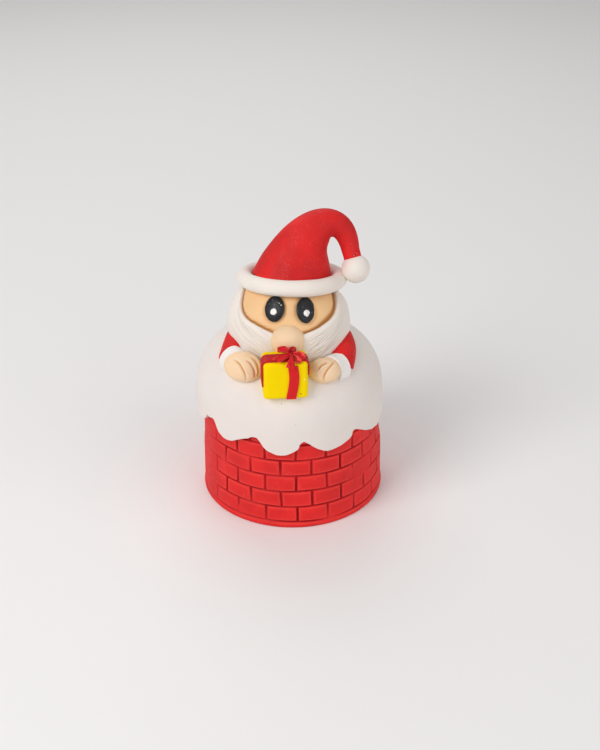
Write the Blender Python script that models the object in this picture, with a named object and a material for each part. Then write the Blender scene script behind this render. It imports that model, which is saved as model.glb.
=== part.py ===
"""Christmas cake: a round chimney of brick-embossed red icing under a scalloped cap of white
snow icing, with a Father Christmas figure that looks out of it and holds up a wrapped gift.

Metres, +Z up. The cake stands on Z = 0, the figure looks along -Y, and the Z axis runs up
the middle of the cake. Angles round the cake are degrees from -Y, positive towards +X.
"""

from math import cos, degrees, pi, radians, sin, sqrt

import bmesh
import bpy
from mathutils import Euler, Matrix, Vector

MM = 0.001
GAP = 0.3 * MM

# Chimney: the iced cake, which fills the snow cap to its top
CHIMNEY_FOOT_RADIUS = 56.4 * MM
CHIMNEY_TOP_RADIUS = 54.9 * MM
CHIMNEY_FOOT_X = 1.5 * MM
CHIMNEY_TOP_X = 0.6 * MM
CHIMNEY_TAPER_HEIGHT = 50.0 * MM
CHIMNEY_SIDES = 48
FIRST_JOINT_HEIGHT = 4.1 * MM
COURSE_HEIGHT = 10.83 * MM
COURSES = 6
JOINT_WIDTH = 1.7 * MM
BED_JOINT_DEPTH = 0.9 * MM
HEAD_JOINT_DEPTH = 0.75 * MM
BRICK_ANGLE = 19.65
FIRST_HEAD_JOINT = -163.8
HEAD_JOINTS = 18
BRICKWORK_TOP = 66.0 * MM

# Snow cap: a flattened dome whose sides drop straight to the scalloped edge
SNOW_X = -0.5 * MM
SNOW_RADIUS = 58.0 * MM
SNOW_SHOULDER = 58.5 * MM
SNOW_TOP = 107.2 * MM
SNOW_SQUARENESS = 3.0
SNOW_WALL = 2.8 * MM
SNOW_SEAT_RADIUS = 32.5 * MM
SNOW_SIDES = 72
SNOW_EDGE_RISE = 0.5 * MM
SCALLOP_BLEND_TOP = 80.0 * MM
# The edge of the snow as (angle, height in mm): low at a drip, high between two
SCALLOPS = [
    (-62.8, 60.0), (-58.4, 64.5), (-55.4, 64.6), (-52.1, 65.5), (-50.1, 64.2), (-47.5, 59.6),
    (-43.2, 56.6), (-39.1, 56.0), (-34.6, 57.4), (-30.4, 59.8), (-24.8, 62.1), (-21.5, 63.8),
    (-18.6, 63.4), (-14.4, 57.4), (-10.4, 54.6), (-4.0, 53.2), (0.9, 54.6), (5.7, 57.9),
    (6.5, 60.6), (9.0, 62.5), (10.9, 61.5), (15.9, 57.4), (22.4, 53.9), (27.9, 53.8),
    (35.2, 55.6), (40.3, 58.2), (41.3, 61.4), (44.1, 61.5), (55.5, 55.5), (63.9, 52.6),
    (73.4, 52.0), (86, 55.0), (95, 62.0), (106, 57.0), (118, 53.5), (130, 58.0), (136, 63.5),
    (147, 57.5), (160, 54.0), (172, 60.5), (180, 64.0), (191, 57.5), (203, 53.6), (216, 58.5),
    (224, 64.0), (235, 57.0), (248, 53.0), (262, 56.5), (272, 63.0), (283, 58.6),
]

# Figure
HEAD_CENTRE = Vector((-0.5, 0.0, 111.5)) * MM
HEAD_RADIUS = 35.6 * MM
BEARD_RADIUS = 37.1 * MM
NOSE_CENTRE = Vector((-0.9, -33.2, 117.0)) * MM
NOSE_RADIUS = 10.0 * MM
NOSE_TURN = (20, 0, 0)
EYE_SIZE = Vector((6.15, 2.2, 7.8)) * MM
# Where each eye lies over the head, as (angle, elevation, roll) in degrees
EYES = {"left": (-16.9, 40.1, -13.5), "right": (20.9, 38.2, 26.0)}
GLINT_SIZE = Vector((2.0, 0.9, 2.0)) * MM
GLINT_LIFT = 0.93
GLINT_DROP = 2.3 * MM
GLINT_SHIFT = 1.8 * MM

# Hat
BAND_CENTRE = Vector((1.4, 5.0, 139.6)) * MM
BAND_RADIUS = 28.2 * MM
BAND_THICKNESS = 4.8 * MM
HAT_TILT = 12.0
HAT_ROLL = 1.0
# The hat's middle line from inside the band to the tip, as (x, y, z, radius) in mm
HAT_LINE = [
    (2.2, 5.0, 139.2, 24.6), (3.0, 5.9, 143.4, 22.8), (5.2, 7.4, 151.0, 20.1),
    (8.5, 9.2, 159.8, 15.9), (13.9, 10.8, 167.0, 12.3), (21.8, 12.0, 171.8, 9.8),
    (29.7, 11.2, 170.4, 7.7), (34.3, 8.6, 164.4, 6.2), (36.5, 5.6, 156.4, 5.3),
    (38.1, 3.4, 150.6, 5.3),
]
BOBBLE_CENTRE = Vector((39.3, 1.6, 146.8)) * MM
BOBBLE_RADIUS = 8.45 * MM

# Arms, as (x, y, z, radius) in mm from the shoulder to the cuff
SLEEVE_LINES = {
    "left": [(-27.5, 11.0, 103.5, 5.2), (-29.8, 0.0, 104.0, 7.2), (-31.4, -11.0, 103.2, 8.3),
             (-33.8, -24.8, 100.3, 8.1)],
    "right": [(26.5, 11.0, 103.5, 5.2), (28.6, 1.0, 103.8, 7.4), (31.0, -10.0, 103.0, 8.2),
              (31.2, -20.0, 100.4, 8.3), (29.9, -28.4, 97.1, 7.9)],
}
CUFF_LENGTH = 8.2 * MM
CUFF_RADIUS = 8.75 * MM
CUFF_EDGE = 0.6 * MM
CUFF_ROOM = 2.0 * MM
CUFF_AIM = {"left": Vector((0.48, -0.88, 0.03)), "right": Vector((-0.69, -0.72, 0.11))}
HAND_SIZE = {"left": Vector((11.9, 9.2, 7.4)) * MM, "right": Vector((9.6, 7.7, 6.3)) * MM}
HAND_CENTRE = {"left": Vector((-27.0, -36.9, 102.2)) * MM,
               "right": Vector((20.5, -39.7, 101.0)) * MM}
HAND_TURN = {"left": (34.0, 2.0, -26.0), "right": (34.0, 0.0, 12.0)}

# Gift
GIFT_SIZE = Vector((25.8, 17.2, 23.6)) * MM
GIFT_CENTRE = Vector((-2.6, -47.3, 102.6)) * MM
GIFT_TURN = 5.5
GIFT_LEAN = 2.0
GIFT_EDGE_RADIUS = 2.4 * MM
RIBBON_THICKNESS = 0.7 * MM
RIBBON_WIDTH = 5.8 * MM
RIBBON_SHIFT = 4.2 * MM
RIBBON_SWAY = 0.8 * MM
RIBBON_DRIFT = 0.6 * MM
RIBBON_WAVES = 0.675
RIBBON_START = 0.025
STRAP_WIDTH = 9.3 * MM
STRAP_FRONT = 1.6 * MM
# Heights of the strap's two lower ends over the gift's middle, left and right
STRAP_ENDS = (-3.8 * MM, 3.0 * MM)
STRAP_CORNER = 3.2 * MM
STRAP_DEPTH = 2.0 * MM
STRAP_END_SLANT = 1.2 * MM

# Bow, laid out as it is seen from in front and above
KNOT_PLACE = Vector((3.6, 4.9, 2.6)) * MM
KNOT_SIZE = Vector((1.7, 1.6, 1.4)) * MM
BOW_VIEW = radians(29.4)
# Each strip runs out from the knot between two edges. A station gives both edges' points, each
# as (across, seen height, lift off the gift), in mm from the knot.
BOW_STRIPS = {
    "bow_tail": [(-0.9, 0.6, 1.5, 0.9, 0.4, 1.5), (-1.3, -1.2, 1.2, 0.5, -1.6, 1.2),
                 (-2.4, -3.6, -0.6, 1.0, -3.8, -0.6), (-3.1, -5.4, -2.6, 1.4, -5.8, -2.8),
                 (-3.7, -7.0, -4.0, 0.9, -8.3, -5.2)],
    "bow_leaf_left": [(-0.8, 0.9, 0.2, -0.8, -0.9, 0.0), (-2.8, 1.2, 0.2, -2.6, -1.9, -0.3),
                      (-5.2, 0.9, 0.1, -4.6, -2.8, -0.5), (-8.4, -0.2, -0.1, -6.0, -3.6, -0.7),
                      (-10.8, -1.4, -0.3, -6.9, -3.9, -0.8)],
    "bow_leaf_right": [(0.8, 0.8, 0.3, 0.7, -0.9, 0.0), (2.3, 1.5, 0.5, 1.4, -2.2, -0.4),
                       (4.8, 1.8, 0.6, 2.0, -3.8, -1.4), (7.2, 1.1, 0.4, 2.8, -4.8, -2.2),
                       (8.3, -0.7, 0.0, 4.2, -5.1, -2.4)],
    "bow_loop_left": [(-0.6, 1.5, 0.9, -1.0, 0.9, 0.6), (-1.6, 3.8, 2.0, -2.6, 1.3, 1.0),
                      (-3.6, 5.4, 2.6, -4.8, 1.5, 1.2), (-6.0, 5.3, 2.6, -6.6, 2.0, 1.4),
                      (-7.6, 4.2, 2.2, -7.6, 3.0, 1.8)],
    "bow_loop_right": [(-0.6, 1.4, 0.8, 0.8, 1.1, 0.8), (-1.1, 3.0, 1.4, 2.2, 1.8, 0.9),
                       (-0.2, 4.4, 1.8, 3.2, 2.6, 1.1), (1.8, 4.5, 1.8, 3.4, 3.6, 1.4)],
}
BOW_THICKNESS = {"bow_tail": 1.3 * MM, "bow_leaf_left": 1.5 * MM, "bow_leaf_right": 1.5 * MM,
                 "bow_loop_left": 2.8 * MM, "bow_loop_right": 2.0 * MM}

COLOURS = {
    "brick red icing": (0.72, 0.035, 0.030),
    "white icing": (0.86, 0.82, 0.78),
    "skin icing": (0.90, 0.60, 0.36),
    "red icing": (0.70, 0.022, 0.020),
    "black icing": (0.020, 0.022, 0.024),
    "yellow icing": (0.95, 0.74, 0.010),
}
ROUGHNESS = {"black icing": 0.35, "yellow icing": 0.4}


def clear_scene():
    for obj in list(bpy.data.objects):
        bpy.data.objects.remove(obj, do_unlink=True)


def new_collection(name):
    collection = bpy.data.collections.new(name)
    bpy.context.scene.collection.children.link(collection)
    return collection


clear_scene()
CAKE = new_collection("christmas_cake")
CUTTERS = new_collection("cutters")


def icing(name, colour_name):
    """A Principled material of its own for one piece."""
    material = bpy.data.materials.new(name)
    material.use_nodes = True
    shader = material.node_tree.nodes["Principled BSDF"]
    shader.inputs["Base Color"].default_value = (*COLOURS[colour_name], 1.0)
    shader.inputs["Roughness"].default_value = ROUGHNESS.get(colour_name, 0.6)
    shader.inputs["Metallic"].default_value = 0.0
    return material


def mesh_from(bm, name):
    mesh = bpy.data.meshes.new(name)
    bm.to_mesh(mesh)
    bm.free()
    return mesh


def piece(name, mesh, colour_name):
    """One visible piece of the cake."""
    obj = bpy.data.objects.new(name, mesh)
    mesh.shade_smooth()
    mesh.set_sharp_from_angle(angle=radians(40))
    mesh.materials.append(icing(name, colour_name))
    CAKE.objects.link(obj)
    return obj


def cutter(name, mesh):
    obj = bpy.data.objects.new("cut_" + name, mesh)
    obj.hide_render = True
    obj.display_type = "WIRE"
    CUTTERS.objects.link(obj)
    return obj


def cut(obj, *tools):
    """Take each tool out of the piece, with a Boolean modifier that stays live."""
    for tool in tools:
        modifier = obj.modifiers.new(tool.name, "BOOLEAN")
        modifier.operation = "DIFFERENCE"
        modifier.object = tool


def skin(name, rings):
    """Close a solid over rings of points; a ring of one point is a pole."""
    bm = bmesh.new()
    rows = [[bm.verts.new(point) for point in ring] for ring in rings]
    for lower, upper in zip(rows, rows[1:]):
        count = max(len(lower), len(upper))
        for i in range(count):
            j = (i + 1) % count
            corners = (lower[i % len(lower)], lower[j % len(lower)],
                       upper[j % len(upper)], upper[i % len(upper)])
            bm.faces.new(dict.fromkeys(corners))
    for row in (rows[0], rows[-1]):
        if len(row) > 1:
            bm.faces.new(row)
    bmesh.ops.recalc_face_normals(bm, faces=bm.faces)
    return mesh_from(bm, name)


def ball(name, centre, size, segments, rings, turn=(0.0, 0.0, 0.0), grow=0.0):
    """An ellipsoid of half sizes `size`, turned by Euler angles in degrees."""
    bm = bmesh.new()
    bmesh.ops.create_uvsphere(bm, u_segments=segments, v_segments=rings, radius=1.0)
    scale = Matrix.Diagonal((size[0] + grow, size[1] + grow, size[2] + grow, 1.0))
    rotation = Euler([radians(angle) for angle in turn]).to_matrix().to_4x4()
    bm.transform(Matrix.Translation(centre) @ rotation @ scale)
    return mesh_from(bm, name)


def spline(points, steps):
    """Points on a Catmull-Rom curve through `points`, each a tuple of numbers."""
    ends = [points[0], *points, points[-1]]
    curve = []
    for a, b, c, d in zip(ends, ends[1:], ends[2:], ends[3:]):
        for step in range(steps):
            t = step / steps
            curve.append(tuple(
                0.5 * (2 * q + (r - p) * t + (2 * p - 5 * q + 4 * r - s) * t * t
                       + (3 * q - p - 3 * r + s) * t ** 3)
                for p, q, r, s in zip(a, b, c, d)))
    return curve + [tuple(points[-1])]


def tube(name, line, sides, steps, grow=0.0):
    """A tapered roll of icing: a bevelled curve through (x, y, z, radius), made a mesh."""
    stations = spline([tuple(value * MM for value in station) for station in line], steps)
    data = bpy.data.curves.new(name, "CURVE")
    data.dimensions = "3D"
    data.bevel_depth = 1.0
    data.bevel_resolution = sides // 2 - 2
    data.use_fill_caps = True
    path = data.splines.new("POLY")
    path.points.add(len(stations) - 1)
    for point, (x, y, z, radius) in zip(path.points, stations):
        point.co = (x, y, z, 1.0)
        point.radius = radius + grow
    roll = bpy.data.objects.new(name + "_curve", data)
    CUTTERS.objects.link(roll)
    mesh = bpy.data.meshes.new_from_object(roll.evaluated_get(bpy.context.evaluated_depsgraph_get()))
    bpy.data.objects.remove(roll, do_unlink=True)
    bm = bmesh.new()
    bm.from_mesh(mesh)
    bmesh.ops.remove_doubles(bm, verts=bm.verts, dist=0.001 * MM)
    bmesh.ops.recalc_face_normals(bm, faces=bm.faces)
    return mesh_from(bm, name)


def ring_points(centre_x, radius, height, angles):
    return [(centre_x + radius * sin(a), -radius * cos(a), height) for a in angles]


def angles_round(count):
    return [2 * pi * i / count for i in range(count)]


def ease(t):
    t = min(max(t, 0.0), 1.0)
    return t * t * (3 - 2 * t)


# Chimney

def chimney_centre(height):
    return CHIMNEY_FOOT_X + (CHIMNEY_TOP_X - CHIMNEY_FOOT_X) * ease(height / CHIMNEY_TAPER_HEIGHT)


def chimney_radius(height):
    drop = CHIMNEY_FOOT_RADIUS - CHIMNEY_TOP_RADIUS
    return CHIMNEY_FOOT_RADIUS - drop * ease(height / CHIMNEY_TAPER_HEIGHT)


def bed_joint(course):
    return FIRST_JOINT_HEIGHT + course * COURSE_HEIGHT


def dome_radius(height, radius, top):
    """Radius of the dome at a height, from its full radius at the shoulder to 0 at the top."""
    if height <= SNOW_SHOULDER:
        return radius
    rise = (height - SNOW_SHOULDER) / (top - SNOW_SHOULDER)
    return radius * (1 - rise ** SNOW_SQUARENESS) ** (1 / SNOW_SQUARENESS)


def dome_height(distance, radius, top):
    """Height of the dome at a distance from its axis."""
    spread = 1 - (distance / radius) ** SNOW_SQUARENESS
    return SNOW_SHOULDER + (top - SNOW_SHOULDER) * spread ** (1 / SNOW_SQUARENESS)


CORE_TOP = SNOW_TOP - SNOW_WALL - GAP
CORE_DOME = [0.88, 0.59]


def core_dome_rings(angles, grow):
    """Rings of the hidden dome of the cake, which ends in the flat seat under the figure."""
    radius = CHIMNEY_TOP_RADIUS
    return [ring_points(CHIMNEY_TOP_X, radius * share + grow,
                        dome_height(radius * share, radius, CORE_TOP) + grow, angles)
            for share in CORE_DOME]


def head_joint_cutters():
    """Wedges for the upright joints of every course; the longer brick is the seam at the back."""
    bm = bmesh.new()
    for course in range(COURSES):
        low = bed_joint(course)
        high = bed_joint(course + 1) if course < COURSES - 1 else BRICKWORK_TOP
        shift = 0 if course % 2 else BRICK_ANGLE / 2
        middle = (low + high) / 2
        for k in range(HEAD_JOINTS):
            wedge = bmesh.ops.create_cone(bm, cap_ends=True, segments=3, radius1=1, radius2=1,
                                          depth=1)["verts"]
            depth = 2 * HEAD_JOINT_DEPTH
            # A three-sided cone of radius 1 is 1.5 deep and sqrt(3) wide
            size = Matrix.Diagonal((depth / 1.5, JOINT_WIDTH / sqrt(3), high - low, 1))
            place = Vector((0, 0, middle))
            angle = radians(FIRST_HEAD_JOINT + shift + BRICK_ANGLE * k)
            turn = Matrix.Rotation(angle, 4, "Z")
            reach = chimney_radius(middle) - HEAD_JOINT_DEPTH + depth * 2 / 3
            out = Matrix.Translation((chimney_centre(middle), 0, 0)) @ turn
            put = out @ Matrix.Translation((0, -reach, 0)) @ Matrix.Translation(place)
            inwards = Matrix.Rotation(radians(90), 4, "Z")
            bmesh.ops.transform(bm, matrix=put @ inwards @ size, verts=wedge)
    return mesh_from(bm, "head_joints")


def make_chimney():
    angles = angles_round(CHIMNEY_SIDES)
    levels = [(0.0, 0.0)]
    for course in range(COURSES):
        height = bed_joint(course)
        levels += [(height - JOINT_WIDTH / 2, 0.0), (height, BED_JOINT_DEPTH),
                   (height + JOINT_WIDTH / 2, 0.0)]
    levels.append((BRICKWORK_TOP, 0.0))
    rings = [ring_points(chimney_centre(z), chimney_radius(z) - depth, z, angles)
             for z, depth in levels]
    chimney = piece("chimney", skin("chimney", rings + core_dome_rings(angles, 0.0)),
                    "brick red icing")
    cut(chimney, cutter("head_joints", head_joint_cutters()))


# Snow cap

def scallop_height(angle):
    """Height of the snow's lower edge at an angle in degrees, on a smooth closed curve."""
    knots = [(a, z * MM) for a, z in SCALLOPS]
    angle = (angle - knots[0][0]) % 360 + knots[0][0]
    knots = [(knots[-1][0] - 360, knots[-1][1]), *knots, (knots[0][0] + 360, knots[0][1]),
             (knots[1][0] + 360, knots[1][1])]
    for before, here, there, after in zip(knots, knots[1:], knots[2:], knots[3:]):
        if here[0] <= angle <= there[0]:
            break
    width = there[0] - here[0]
    t = (angle - here[0]) / width
    slope_here = (there[1] - before[1]) / (there[0] - before[0]) * width
    slope_there = (after[1] - here[1]) / (after[0] - here[0]) * width
    return (here[1] * (2 * t ** 3 - 3 * t * t + 1) + slope_here * (t ** 3 - 2 * t * t + t)
            + there[1] * (3 * t * t - 2 * t ** 3) + slope_there * (t ** 3 - t * t))


SNOW_ROWS = [SNOW_SEAT_RADIUS, 37.5 * MM, 42.0 * MM, 46.0 * MM, 49.5 * MM, 52.4 * MM, 54.8 * MM,
             56.6 * MM, 57.7 * MM]
SNOW_LOW_ROWS = [(0.0, 2.4 * MM), (0.5 * MM, 0.8 * MM), (1.4 * MM, 0.0)]


def snow_outer_rings(angles, grow=0.0):
    return [ring_points(SNOW_X, distance + grow,
                        dome_height(distance, SNOW_RADIUS, SNOW_TOP) + grow, angles)
            for distance in SNOW_ROWS]


def make_snow():
    angles = angles_round(SNOW_SIDES)
    edges = [scallop_height(degrees(a)) for a in angles]
    level = sum(edges) / len(edges)
    rings = [snow_outer_rings(angles)[0]]
    for distance in SNOW_ROWS[1:]:
        height = dome_height(distance, SNOW_RADIUS, SNOW_TOP)
        sink = ease((SCALLOP_BLEND_TOP - height) / (SCALLOP_BLEND_TOP - SNOW_SHOULDER))
        ring = []
        for a, edge in zip(angles, edges):
            z = height + (edge - level) * sink
            r = dome_radius(z, SNOW_RADIUS, SNOW_TOP)
            ring.append((SNOW_X + r * sin(a), -r * cos(a), z))
        rings.append(ring)
    for inset, rise in SNOW_LOW_ROWS:
        rings.append([(SNOW_X + (SNOW_RADIUS - inset) * sin(a), -(SNOW_RADIUS - inset) * cos(a),
                       edge + rise) for a, edge in zip(angles, edges)])
    inner = CHIMNEY_TOP_RADIUS + GAP
    rings.append([(CHIMNEY_TOP_X + inner * sin(a), -inner * cos(a), edge + SNOW_EDGE_RISE)
                  for a, edge in zip(angles, edges)])
    rings.append(ring_points(CHIMNEY_TOP_X, inner, BRICKWORK_TOP + GAP, angles))
    rings += core_dome_rings(angles, GAP)
    piece("snow_cap", skin("snow_cap", rings), "white icing")


def snow_cutter():
    """The solid under the snow's outer face, a gap larger, for what is pressed onto it."""
    angles = angles_round(SNOW_SIDES)
    rings = snow_outer_rings(angles, GAP)
    rings.append(ring_points(SNOW_X, SNOW_RADIUS + GAP, SNOW_SHOULDER, angles))
    return cutter("snow", skin("snow", rings))


# Head, nose and eyes

HEAD_SEGMENTS = 30
HEAD_RINGS = 16


def head_ball(name, grow=0.0):
    size = [HEAD_RADIUS + grow] * 3
    return ball(name, HEAD_CENTRE, size, HEAD_SEGMENTS, HEAD_RINGS)


def on_head(angle, elevation, radius):
    """The point over the head at an angle round it and an elevation above its middle."""
    a, e = radians(angle), radians(elevation)
    return HEAD_CENTRE + radius * Vector((sin(a) * cos(e), -cos(a) * cos(e), sin(e)))


def nose_mesh(name, grow=0.0):
    return ball(name, NOSE_CENTRE, [NOSE_RADIUS] * 3, 18, 10, NOSE_TURN, grow)


def eye_mesh(name, side, grow=0.0):
    angle, elevation, roll = EYES[side]
    return ball(name, on_head(angle, elevation, HEAD_RADIUS), EYE_SIZE, 16, 8,
                (-elevation, roll, angle), grow)


def glint_mesh(name, side):
    angle, elevation, roll = EYES[side]
    out = (on_head(angle, elevation, 1.0) - HEAD_CENTRE).normalized()
    up = (Vector((0, 0, 1)) - out * out.z).normalized()
    centre = on_head(angle, elevation, HEAD_RADIUS) + out * EYE_SIZE.y * GLINT_LIFT
    centre -= up * GLINT_DROP + Vector((out.x, 0, 0)) * GLINT_SHIFT
    return ball(name, centre, GLINT_SIZE, 10, 6, (-elevation, roll, angle))


# Beard

# Upper edge of the beard as (angle, elevation) over the head, from end to end; it frames the
# face, and the ends run down behind the cheeks
BEARD_EDGE = [
    (-113, -16), (-107, 8), (-101, 32), (-94, 40.5), (-87, 42), (-78.5, 38.4), (-70, 33.0),
    (-62.5, 28.4), (-54.8, 25.0), (-47, 23.0), (-37, 21.6), (-28.6, 20.1), (-19.8, 18.1),
    (0, 14.4), (15.6, 16.0), (30.6, 18.6), (39.2, 20.6), (47.8, 22.3), (57.2, 25.0),
    (64.8, 28.6), (72.2, 33.2), (78, 37.2), (83, 39.6), (88, 37.5), (94, 27), (101, 3),
    (110, -16),
]
BEARD_FOOT = -18.0
BEARD_ROWS = [0.0, 0.06, 0.16, 0.36, 0.66, 1.0]
BEARD_INSIDE = 2.0 * MM
BEARD_ROUNDING = 5.0


def beard_radius(elevation, edge):
    """The beard's outer radius, rounded over near its upper edge."""
    near = min(max((edge - elevation) / BEARD_ROUNDING, 0.0), 1.0)
    thickness = BEARD_RADIUS - HEAD_RADIUS
    return HEAD_RADIUS + thickness * (0.30 + 0.70 * sqrt(1 - (1 - near) ** 2))


def beard_mesh(name):
    """Each ring is the beard's section at one angle: down its outside and up its inside."""
    rings = []
    for angle, edge in spline(BEARD_EDGE, 2):
        span = max(edge - BEARD_FOOT, 0.0)
        outside = [on_head(angle, edge - span * t, beard_radius(edge - span * t, edge))
                   for t in BEARD_ROWS]
        inside = [on_head(angle, edge - span * t, HEAD_RADIUS - BEARD_INSIDE)
                  for t in (1.0, 0.5, 0.0)]
        rings.append(outside + inside)
    return skin(name, rings)


# Hat

def hat_rotation():
    return Euler((radians(-HAT_TILT), radians(HAT_ROLL), 0))


def band_mesh(name, grow=0.0):
    bpy.ops.mesh.primitive_torus_add(major_radius=BAND_RADIUS, minor_radius=BAND_THICKNESS + grow,
                                     major_segments=36, minor_segments=10)
    torus = bpy.context.object
    mesh = torus.data
    mesh.transform(Matrix.Translation(BAND_CENTRE) @ hat_rotation().to_matrix().to_4x4())
    mesh.name = name
    bpy.data.objects.remove(torus, do_unlink=True)
    return mesh


def bobble_mesh(name, grow=0.0):
    return ball(name, BOBBLE_CENTRE, [BOBBLE_RADIUS] * 3, 16, 9, grow=grow)


# Arms

def hand_mesh(name, side, grow=0.0):
    return ball(name, HAND_CENTRE[side], HAND_SIZE[side], 16, 11, HAND_TURN[side], grow)


def cuff_line(side, stations):
    """The short roll round the wrist, from (distance on from the sleeve's end, radius) in mm."""
    wrist = Vector(SLEEVE_LINES[side][-1][:3])
    aim = CUFF_AIM[side].normalized()
    return [(*(wrist + aim * distance), radius) for distance, radius in stations]


def make_arm(side, snow, beard_clear):
    hand_clear = cutter("hand_" + side, hand_mesh("hand_" + side, side, GAP))
    hand = piece("hand_" + side, hand_mesh("hand_" + side, side), "skin icing")
    cut(hand, snow)
    outer = CUFF_RADIUS / MM
    length = CUFF_LENGTH / MM
    edge = CUFF_EDGE / MM
    band = cuff_line(side, [(0.0, outer - edge), (edge, outer), (length - edge, outer),
                            (length, outer - edge)])
    cuff = piece("cuff_" + side, tube("cuff_" + side, band, 24, 1), "white icing")
    cut(cuff, snow, beard_clear, hand_clear)
    sleeve = piece("sleeve_" + side, tube("sleeve_" + side, SLEEVE_LINES[side], 16, 3),
                   "red icing")
    wide = outer + CUFF_ROOM / MM
    space = cuff_line(side, [(-GAP / MM, wide), (length, wide)])
    cut(sleeve, cutter("cuff_" + side, tube("cut_cuff_" + side, space, 20, 1)), snow, beard_clear)
    return hand


# Gift

def gift_matrix():
    turn = Euler((radians(-GIFT_LEAN), 0, radians(GIFT_TURN)))
    return Matrix.Translation(GIFT_CENTRE) @ turn.to_matrix().to_4x4()


def gift_box(name, grow=0.0):
    """The box with rounded edges, `grow` larger all round."""
    size = GIFT_SIZE + Vector((2 * grow,) * 3)
    bm = bmesh.new()
    bmesh.ops.create_cube(bm, size=1.0)
    bmesh.ops.transform(bm, matrix=Matrix.Diagonal((*size, 1)), verts=bm.verts)
    bmesh.ops.bevel(bm, geom=bm.edges[:], offset=GIFT_EDGE_RADIUS + grow, segments=3, profile=0.5,
                    affect="EDGES")
    bm.transform(gift_matrix())
    return mesh_from(bm, name)


def ribbon_sections(line, width, thickness):
    """Rings of a flat strip: each station gives a point, its outward direction and its side."""
    rings = []
    for point, out, side in line:
        half = side.normalized() * width / 2
        top = out.normalized() * thickness
        rings.append([point - half, point - half * 0.9 + top, point + half * 0.9 + top,
                      point + half])
    return rings


def front_ribbon_mesh(name, clearance=0.0):
    """The upright ribbon on the gift's front, swaying a little and tucked under the box."""
    half = GIFT_SIZE / 2
    front = -half.y - GAP
    stations = 9
    line = []
    for i in range(stations):
        t = i / (stations - 1)
        z = half.z - GIFT_EDGE_RADIUS * 0.8 - (GIFT_SIZE.z - GIFT_EDGE_RADIUS * 0.8) * t
        sway = RIBBON_SWAY * sin(2 * pi * (RIBBON_WAVES * t - RIBBON_START))
        x = RIBBON_SHIFT + sway - RIBBON_DRIFT * t
        line.append((Vector((x, front, z)), Vector((0, -1, 0)), Vector((1, 0, 0))))
    mesh = skin(name, ribbon_sections(line, RIBBON_WIDTH + 2 * clearance,
                                      RIBBON_THICKNESS + clearance))
    mesh.transform(gift_matrix())
    return mesh


def strap_mesh(name, clearance=0.0):
    """The block that the ribbon over the top and down both sides is cut from."""
    grow = GAP + RIBBON_THICKNESS + clearance
    half = GIFT_SIZE.x / 2 + grow
    top = GIFT_SIZE.z / 2 + grow
    left, right = STRAP_ENDS
    inside = half - STRAP_DEPTH
    outline = [(-inside, left - clearance), (-half, left + STRAP_END_SLANT - clearance)]
    for side in (-1, 1):
        for step in range(4):
            turn = radians(30 * (step if side < 0 else 3 - step))
            outline.append((side * (half - STRAP_CORNER + STRAP_CORNER * cos(turn)),
                            top - STRAP_CORNER + STRAP_CORNER * sin(turn)))
    outline += [(half, right + STRAP_END_SLANT - clearance), (inside, right - clearance)]
    front = -GIFT_SIZE.y / 2 + STRAP_FRONT - clearance
    back = front + STRAP_WIDTH + 2 * clearance
    mesh = skin(name, [[Vector((x, y, z)) for x, z in outline] for y in (front, back)])
    mesh.transform(gift_matrix())
    return mesh


def knot_centre():
    return Vector((0, -GIFT_SIZE.y / 2, GIFT_SIZE.z / 2)) + KNOT_PLACE


def bow_point(across, seen, lift):
    """The point that lies across and above the knot, and back far enough to show at `seen`."""
    back = (seen - lift * cos(BOW_VIEW)) / sin(BOW_VIEW)
    return knot_centre() + Vector((across, back, lift)) * MM


def bow_mesh(name, strip, thickness, grow=0.0):
    """A strip of icing between its two edges, from the knot outwards."""
    stations = spline(strip, 2)
    edges = [(bow_point(*station[:3]), bow_point(*station[3:])) for station in stations]
    middles = [(one + other) / 2 for one, other in edges]
    last = len(stations) - 1
    rings = []
    for i, (one, other) in enumerate(edges):
        along = (middles[min(i + 1, last)] - middles[max(i - 1, 0)]).normalized()
        half = (other - one) / 2
        side = half + half.normalized() * grow
        out = side.cross(along).normalized() * (thickness / 2 + grow)
        centre = middles[i] + along * grow * ((i == last) - (i == 0))
        rings.append([centre - side, centre - side * 0.6 + out, centre + side * 0.6 + out,
                      centre + side, centre + side * 0.6 - out, centre - side * 0.6 - out])
    mesh = skin(name, rings)
    mesh.transform(gift_matrix())
    return mesh


def knot_mesh(name, grow=0.0):
    return ball(name, gift_matrix() @ knot_centre(), KNOT_SIZE, 12, 8, grow=grow)


def make_gift(snow, nose_clear, beard_clear):
    gift_clear = cutter("gift", gift_box("gift", GAP))
    gift = piece("gift_box", gift_box("gift_box"), "yellow icing")
    cut(gift, snow, nose_clear, beard_clear)
    strap = piece("ribbon_over", strap_mesh("ribbon_over"), "red icing")
    cut(strap, gift_clear, snow, nose_clear)
    front = piece("ribbon_front", front_ribbon_mesh("ribbon_front"), "red icing")
    cut(front, snow)
    below = [cutter("strap", strap_mesh("strap_clear", GAP)),
             cutter("front", front_ribbon_mesh("front_clear", GAP)), nose_clear,
             cutter("knot", knot_mesh("knot_clear", GAP))]
    piece("bow_knot", knot_mesh("bow_knot"), "red icing")
    for name, strip in BOW_STRIPS.items():
        thickness = BOW_THICKNESS[name]
        cut(piece(name, bow_mesh(name, strip, thickness), "red icing"), *below)
        below.append(cutter(name, bow_mesh(name + "_clear", strip, thickness, GAP)))
    return gift_clear


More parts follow.
